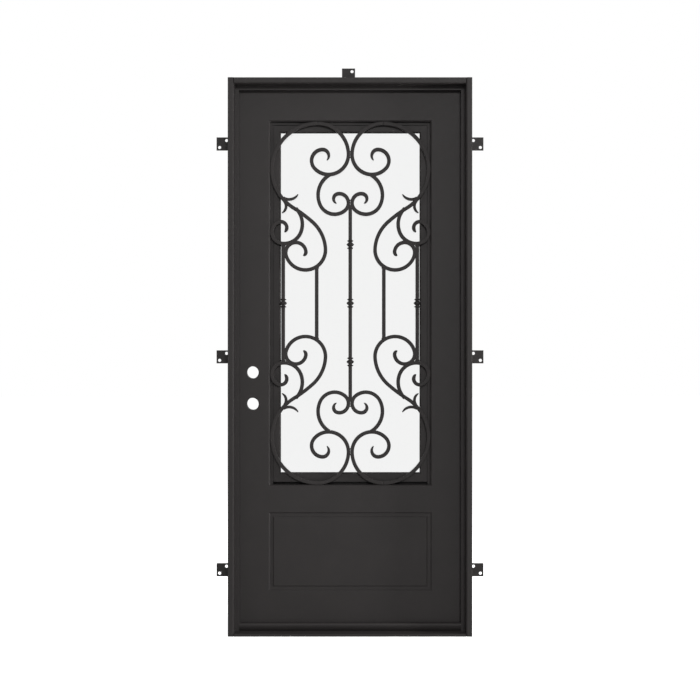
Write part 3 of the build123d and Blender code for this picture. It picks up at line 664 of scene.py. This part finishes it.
class IronDoorStage(PropertyGroup):
    """Camera, light and floor."""
    distance: FloatProperty(
        name="Camera distance", description="From the frame's front to the camera", unit="LENGTH", default=5.93)
    eye_x: FloatProperty(name="Camera across", description="Camera's place along X", unit="LENGTH", default=0.0)
    eye_z: FloatProperty(name="Camera height", description="Height of the camera", unit="LENGTH", default=1.2493)
    lens: FloatProperty(name="Lens", description="Focal length", unit="CAMERA", default=70.0)
    key: FloatProperty(
        name="Key light", description="Power of the large light in front", unit="POWER", default=1400.0)
    edge: FloatProperty(
        name="Edge light", description="Power of the strip light on the right", unit="POWER", default=240.0)
    top: FloatProperty(name="Top light", description="Power of the light overhead", unit="POWER", default=52.0)
    rear: FloatProperty(
        name="Rear light", description="Power of the large light behind", unit="POWER", default=170.0)
    sky: FloatProperty(
        name="Sky", description="Strength of the even light from all sides", min=0, max=2, default=0.22)
    glow: FloatProperty(
        name="Floor glow", description="Brightness that the camera sees in the floor", min=0, max=1, default=0.87)
    floor: FloatVectorProperty(
        name="Floor", description="Colour of the floor", subtype="COLOR", size=3, min=0, max=1,
        default=(0.74, 0.74, 0.74))


# operators

class IRONDOOR_OT_finishes(Operator):
    """Gives every CAD node the finish of its material slot"""
    bl_idname = "irondoor.finishes"
    bl_label = "Finishes"

    def execute(self, context):
        found = paints()
        by_slot = {"iron": "satin_iron", "wrought_iron": "forged_iron", "hinge_steel": "hinge_iron",
                   "strike_steel": "brushed_steel", "rubber": "seal_rubber", "glass": "door_glass"}
        for row in frame["record"]["subparts"]:
            dress(frame["nodes"][row["node"]], found[by_slot[row["material_slot"]]])
        return {"FINISHED"}


class IRONDOOR_OT_scrolls(Operator):
    """Forges the ring, heart and side scrolls of all four quarters"""
    bl_idname = "irondoor.scrolls"
    bl_label = "Scrolls"

    def execute(self, context):
        grille = context.scene.iron_door_grille
        quarters = [(level, side) for level in LEVELS for side in SIDES]
        for (level, side), seed in zip(quarters, SCROLL_SEEDS):
            rings = (scroll((*RING_TOP, math.pi), RING_DOWN, SCALE, grille, seed + 1),
                     scroll((*RING_TOP, 0.0), RING_UP, SCALE, grille, seed + 2))
            hearts = (scroll(*heart_path(), grille, seed + 3),)
            sides = (scroll(*side_path(), grille, seed + 4),)
            for name, shapes in (("ring", rings), ("heart", hearts), ("side", sides)):
                shapes = [placed(shape, SIDES[side], LEVELS[level]) for shape in shapes]
                piece = joined(f"forged_{name}_{level}_{side}", shapes)
                fitted_as(piece, "leaf", "wrought_iron", "forged_iron", f"{name}_scroll_{level}_{side}")
        return {"FINISHED"}


class IRONDOOR_OT_thorns(Operator):
    """Forges the pairs of thorns that spring from the rings"""
    bl_idname = "irondoor.thorns"
    bl_label = "Thorns"

    def execute(self, context):
        grille, shapes = context.scene.iron_door_grille, []
        for level in LEVELS.values():
            for side in SIDES.values():
                for station, arcs in ((THORN_UP_STATION, THORN_UP), (THORN_DOWN_STATION, THORN_DOWN)):
                    start = leaving(180, RING_DOWN, station)
                    shapes.append(placed(thorn(start, arcs, grille, THORN_SEED + len(shapes)), side, level))
        fitted_as(joined("forged_thorns", shapes), "leaf", "wrought_iron", "forged_iron", "grille_thorns")
        return {"FINISHED"}


class IRONDOOR_OT_bars(Operator):
    """Forges the five upright bars"""
    bl_idname = "irondoor.bars"
    bl_label = "Upright bars"

    def execute(self, context):
        grille = context.scene.iron_door_grille
        for seed, node in enumerate(BARS, BAR_SEED):
            low, high = box_of(node)
            count = len(np.arange(low[2], high[2] + grille.step, grille.step))
            heights = np.linspace(low[2], high[2], count) - MIDDLE[2]
            points = np.stack([np.full(count, (low[0] + high[0]) / 2 - MIDDLE[0]), heights], axis=-1)
            wide = np.full(count, BAR)
            shape = sweep(points, np.full(count, math.pi / 2), wide, wide, seed, grille, rounded=False)
            fitted_as(joined(f"forged_{node}", [placed(shape)]), "leaf", "wrought_iron", "forged_iron", node)
        return {"FINISHED"}


class IRONDOOR_OT_knuckles(Operator):
    """Turns the collars threaded on the bars"""
    bl_idname = "irondoor.knuckles"
    bl_label = "Knuckles"

    def execute(self, context):
        grille = context.scene.iron_door_grille
        half, neck = grille.collar_height / 2, grille.collar_neck
        # A wide ridge at the middle and a narrow one near each end
        z = np.linspace(-half, half, LATHE_POINTS)
        ridges = [ridge(z, 0, half * WIDE_REACH, grille.collar - neck)]
        ridges += [ridge(z, end * half * END_PLACE, half * END_REACH, grille.collar_ring - neck) for end in (1, -1)]
        inside = [BAR / 2 - KNUCKLE_BED]
        radius = np.concatenate([inside, neck + np.maximum.reduce(ridges), inside])
        height = np.concatenate([[-half], z, [half]])
        low, high = box_of("bar_knuckles")
        spacing = (high[2] - low[2] - grille.collar_height) / 2
        places = []
        for name, rows in (("centre_bar", (-1, 0, 1)), ("side_bar_lock_side", (0,)), ("side_bar_hinge_side", (0,))):
            bar_low, bar_high = box_of(name)
            places += [((bar_low[0] + bar_high[0]) / 2, MIDDLE[1], MIDDLE[2] + row * spacing) for row in rows]
        piece = joined("turned_knuckles", [lathe(radius, height, place) for place in places])
        fitted_as(piece, "leaf", "wrought_iron", "forged_iron", "bar_knuckles")
        return {"FINISHED"}


class IRONDOOR_OT_welds(Operator):
    """Lays the weld beads where scrolls and bars meet each other and the leaf"""
    bl_idname = "irondoor.welds"
    bl_label = "Welds"

    def execute(self, context):
        trim = context.scene.iron_door_trim
        side_points, _ = walk(*side_path(), WELD_STEP)
        heart_points, _ = walk(*heart_path(), WELD_STEP)
        wall, offset = -RING_REACH - BAR / 2, trim.weld_offset
        # Where ring and side scroll touch the wall, and ring and heart scroll the middle line
        touches = ((wall, RING_TOP[1] - SCALE * RING_OUTER_RADIUS),
                   (wall, side_points[side_points[:, 0].argmin(), 1]),
                   (0.0, RING_TOP[1] - SCALE * RING_INNER_RADIUS),
                   (0.0, heart_points[heart_points[:, 0].argmax(), 1]))
        spots = [(RING_TOP[0] + step, RING_TOP[1] + BAR / 2) for step in (-offset, offset)]
        spots += [(x, z + step) for x, z in touches for step in (offset, -offset)]
        shapes, seed = [], WELD_SEED
        for level in LEVELS.values():
            for side in SIDES.values():
                for x, z in spots:
                    seed += 1
                    # A bead on the middle line serves both sides
                    if x != 0.0 or side > 0:
                        shapes.append(placed(weld_bead(x, z, trim, seed), side, level))
        for node in BARS:
            low, high = box_of(node)
            x = (low[0] + high[0]) / 2 - MIDDLE[0]
            for z in (low[2] - MIDDLE[2], high[2] - MIDDLE[2]):
                for step in (-1, 1):
                    seed += 1
                    bead = weld_bead(x + step * BAR / 2, z - math.copysign(trim.weld, z), trim, seed)
                    shapes.append(placed(bead))
        fitted_as(joined("weld_beads", shapes), "leaf", "wrought_iron", "forged_iron")
        return {"FINISHED"}


class IRONDOOR_OT_seals(Operator):
    """Runs the rubber round the stops, in the slot under the glazing frame and under the leaf"""
    bl_idname = "irondoor.seals"
    bl_label = "Seals"

    def execute(self, context):
        trim = context.scene.iron_door_trim
        for node in ("seal_lock_side", "seal_hinge_side", "seal_head"):
            low, high = box_of(node)
            along, wide = (0, 2) if node == "seal_head" else (2, 0)
            across, up = strip_profile(high[wide] - low[wide], high[1] - low[1], trim.ribs)
            middle, up = (low[wide] + high[wide]) / 2, low[1] + up
            outline = [up, middle + across] if node == "seal_head" else [middle - across, up]
            strip = extruded(np.stack(outline, axis=-1), low[along], high[along], along)
            fitted_as(joined("ribbed_" + node, [strip], smooth=False), "frame", "rubber", "seal_rubber", node)

        # The slot's seal is an ellipse at the back of the slot
        slot_low, _ = box_of("glazing_frame_bottom")
        left, right = box_of("glazing_frame_lock_side")[0][0], box_of("glazing_frame_hinge_side")[1][0]
        t = np.linspace(0, 2 * np.pi, SLOT_POINTS, endpoint=False)
        deep, tall = trim.slot_seal_depth, trim.slot_height / 2
        outline = [slot_low[1] + trim.slot_depth - deep * (0.5 + 0.5 * np.cos(t)),
                   slot_low[2] + tall - tall * np.sin(t)]
        strip = extruded(np.stack(outline, axis=-1), left + trim.slot_end, right - trim.slot_end, 0)
        fitted_as(joined("slot_seal", [strip]), "leaf", "rubber", "seal_rubber")

        # The sweep hangs down, and is wide enough for two ribs more
        low, high = box_of("door_sweep")
        across, down = strip_profile(high[1] - low[1], high[2] - low[2], trim.ribs + 2)
        outline = [(low[1] + high[1]) / 2 + across, high[2] - down]
        strip = extruded(np.stack(outline, axis=-1), low[0], high[0], 0)
        fitted_as(joined("ribbed_door_sweep", [strip], smooth=False), "leaf", "rubber", "seal_rubber", "door_sweep")
        return {"FINISHED"}


class IRONDOOR_OT_sill(Operator):
    """Rolls the sill, whose raised nose curves under towards its foot"""
    bl_idname = "irondoor.sill"
    bl_label = "Sill"

    def execute(self, context):
        trim = context.scene.iron_door_trim
        low, high = box_of("threshold")
        stop_low, _ = box_of("seal_lock_side")
        inner = box_of("jamb_hinge_side")[0][0]
        front, back, nose_back = low[1], high[1], stop_low[1]
        lip, bevel = trim.sill_lip, trim.sill_bevel
        foot, nose = nose_outline(nose_back - trim.sill_nose, nose_back, lip, high[2], trim)
        flat = [(front, 0), (foot, 0), (foot, lip), (front + bevel, lip), (front, lip - bevel)]
        rear = [(nose_back, 0), (back, 0), (back, lip), (nose_back, lip)]
        shapes = [extruded(flat, low[0], high[0], 0), extruded(nose, -inner, inner, 0),
                  extruded(rear, low[0] + MM, high[0] - MM, 0)]
        fitted_as(joined("rolled_sill", shapes, smooth=False), "frame", "iron", "satin_iron", "threshold")
        return {"FINISHED"}


class IRONDOOR_OT_gasket(Operator):
    """Beds the glass in a rubber gasket, outdoors and indoors"""
    bl_idname = "irondoor.gasket"
    bl_label = "Glass gasket"

    def execute(self, context):
        trim = context.scene.iron_door_trim
        glass_low, glass_high = box_of("glass_unit")
        sides_low, sides_high = box_of("glazing_frame_lock_side")
        far_low, _ = box_of("glazing_frame_hinge_side")
        corners = ((sides_high[0], sides_low[2]), (far_low[0], sides_high[2]))
        shapes = [gasket_ring(corners, glass_low[1], -1, trim), gasket_ring(corners, glass_high[1], 1, trim)]
        fitted_as(joined("glass_gasket", shapes, smooth=False), "leaf", "rubber", "seal_rubber")
        return {"FINISHED"}


class IRONDOOR_OT_screws(Operator):
    """Drives the screws of the strike plates"""
    bl_idname = "irondoor.screws"
    bl_label = "Strike screws"

    def execute(self, context):
        trim = context.scene.iron_door_trim
        low, high = box_of("strike_plates")
        inset, height = trim.screw_inset, trim.strike_height
        shapes = [screw_head(high[0], (low[1] + high[1]) / 2, z, trim)
                  for z in (low[2] + inset, low[2] + height - inset, high[2] - height + inset, high[2] - inset)]
        fitted_as(joined("strike_screws", shapes), "frame", "strike_steel", "brushed_steel")
        return {"FINISHED"}


def lamp(name, place, size, power):
    """A rectangular soft light at a place, turned to face the lamps' target."""
    light = bpy.data.lights.new(name, "AREA")
    light.shape = "RECTANGLE"
    light.energy, light.size, light.size_y = power, size[0], size[1]
    thing = bpy.data.objects.new(name, light)
    bpy.context.scene.collection.objects.link(thing)
    x, y, z = (t - p for t, p in zip(LAMP_TARGET, place))
    thing.location = place
    thing.rotation_euler = (math.pi - math.acos(z / math.sqrt(x * x + y * y + z * z)), 0,
                            math.atan2(y, x) - math.pi / 2)


def largest(tree, first, *others):
    """The largest of several outputs, of which the last may be a number."""
    for other in others:
        both = tree.nodes.new("ShaderNodeMath")
        both.operation = "MAXIMUM"
        tree.links.new(first, both.inputs[0])
        if isinstance(other, float):
            both.inputs[1].default_value = other
        else:
            tree.links.new(other, both.inputs[1])
        first = both.outputs[0]
    return first


def floor_material(stage):
    """A matt pale floor that glows for the camera, still shows the door's shadow, and is plain white through glass
    and in gloss."""
    made = bpy.data.materials.new("pale_floor")
    made.use_nodes = True
    tree = made.node_tree
    nodes, links = tree.nodes, tree.links
    nodes.clear()
    rays, strength = nodes.new("ShaderNodeLightPath").outputs, nodes.new("ShaderNodeMath")
    matt = preset(nodes.new("ShaderNodeBsdfDiffuse"), {"Color": (*stage.floor, 1)})
    white = preset(nodes.new("ShaderNodeEmission"), {"Strength": 1.0})
    glow, both = nodes.new("ShaderNodeEmission"), nodes.new("ShaderNodeAddShader")
    choice, output = nodes.new("ShaderNodeMixShader"), nodes.new("ShaderNodeOutputMaterial")
    strength.operation = "MULTIPLY"
    strength.inputs[1].default_value = stage.glow
    links.new(rays["Is Camera Ray"], strength.inputs[0])
    links.new(strength.outputs[0], glow.inputs["Strength"])
    links.new(matt.outputs[0], both.inputs[0])
    links.new(glow.outputs[0], both.inputs[1])
    links.new(largest(tree, rays["Is Transmission Ray"], rays["Is Glossy Ray"]), choice.inputs["Fac"])
    links.new(both.outputs[0], choice.inputs[1])
    links.new(white.outputs[0], choice.inputs[2])
    links.new(choice.outputs[0], output.inputs["Surface"])
    return made


def studio_world(stage):
    """Plain white for the camera, through glass and in gloss, and a soft even sky for everything else."""
    world = bpy.data.worlds.new("studio")
    world.use_nodes = True
    tree = world.node_tree
    tree.nodes.clear()
    rays = tree.nodes.new("ShaderNodeLightPath").outputs
    back = preset(tree.nodes.new("ShaderNodeBackground"), {"Color": (1, 1, 1, 1)})
    out = tree.nodes.new("ShaderNodeOutputWorld")
    level = largest(tree, rays["Is Camera Ray"], rays["Is Transmission Ray"], rays["Is Glossy Ray"], stage.sky)
    tree.links.new(level, back.inputs["Strength"])
    tree.links.new(back.outputs[0], out.inputs["Surface"])
    return world


class IRONDOOR_OT_stage(Operator):
    """Sets the floor, the light and the camera"""
    bl_idname = "irondoor.stage"
    bl_label = "Stage"

    def execute(self, context):
        scene, stage = context.scene, context.scene.iron_door_stage
        mesh = bpy.data.meshes.new("floor")
        corners = FLOOR_HALF * np.array([(-1, -1, 0), (1, -1, 0), (1, 1, 0), (-1, 1, 0)], float)
        mesh.from_pydata(corners.tolist(), [], [(0, 1, 2, 3)])
        floor = bpy.data.objects.new("floor", mesh)
        scene.collection.objects.link(floor)
        dress(floor, floor_material(stage))
        scene.world = studio_world(stage)
        for name, (place, size) in LAMPS.items():
            lamp(name, place, size, getattr(stage, name))

        lens = bpy.data.cameras.new("camera")
        lens.lens, lens.sensor_width, lens.sensor_fit = stage.lens, 36.0, "HORIZONTAL"
        lens.clip_start, lens.clip_end = 0.1, 100.0
        camera = bpy.data.objects.new("camera", lens)
        scene.collection.objects.link(camera)
        front = box_of("jamb_lock_side")[0][1]
        camera.location = (stage.eye_x, front - stage.distance, stage.eye_z)
        camera.rotation_euler = (math.pi / 2, 0, 0)
        scene.camera = camera
        scene.view_settings.view_transform = "Standard"
        return {"FINISHED"}


class IRONDOOR_PT_panel(Panel):
    """Lists the door's sizes, colours and build steps"""
    bl_label = "Iron Door"
    bl_idname = "IRONDOOR_PT_panel"
    bl_space_type = "VIEW_3D"
    bl_region_type = "UI"
    bl_category = "Iron Door"

    def draw(self, context):
        for title, attribute, operators in PANEL_ROWS:
            box = self.layout.box()
            box.label(text=title)
            settings = getattr(context.scene, attribute)
            for name in settings.__class__.__annotations__:
                box.prop(settings, name)
            for operator in operators:
                box.operator(operator.bl_idname)


PANEL_ROWS = (
    ("Paint", "iron_door_paint", (IRONDOOR_OT_finishes,)),
    ("Grille", "iron_door_grille", (IRONDOOR_OT_scrolls, IRONDOOR_OT_thorns, IRONDOOR_OT_bars,
                                    IRONDOOR_OT_knuckles)),
    ("Trim", "iron_door_trim", (IRONDOOR_OT_welds, IRONDOOR_OT_seals, IRONDOOR_OT_sill, IRONDOOR_OT_gasket,
                                IRONDOOR_OT_screws)),
    ("Stage", "iron_door_stage", (IRONDOOR_OT_stage,)),
)
SETTINGS = {"iron_door_paint": IronDoorPaint, "iron_door_grille": IronDoorGrille, "iron_door_trim": IronDoorTrim,
            "iron_door_stage": IronDoorStage}
CLASSES = (*SETTINGS.values(), *(operator for row in PANEL_ROWS for operator in row[2]), IRONDOOR_PT_panel)


def register():
    """Registers the classes and hangs the settings on the scene."""
    for cls in CLASSES:
        bpy.utils.register_class(cls)
    for attribute, cls in SETTINGS.items():
        setattr(bpy.types.Scene, attribute, PointerProperty(type=cls))


def unregister():
    """Takes the settings and the classes away again."""
    for attribute in SETTINGS:
        delattr(bpy.types.Scene, attribute)
    for cls in reversed(CLASSES):
        bpy.utils.unregister_class(cls)


def main():
    """Builds the door in order."""
    register()
    bpy.ops.irondoor.stage()
    bpy.ops.irondoor.finishes()
    bpy.ops.irondoor.scrolls()
    bpy.ops.irondoor.thorns()
    bpy.ops.irondoor.bars()
    bpy.ops.irondoor.knuckles()
    bpy.ops.irondoor.welds()
    bpy.ops.irondoor.seals()
    bpy.ops.irondoor.sill()
    bpy.ops.irondoor.gasket()
    bpy.ops.irondoor.screws()


if __name__ == "__main__":
    main()
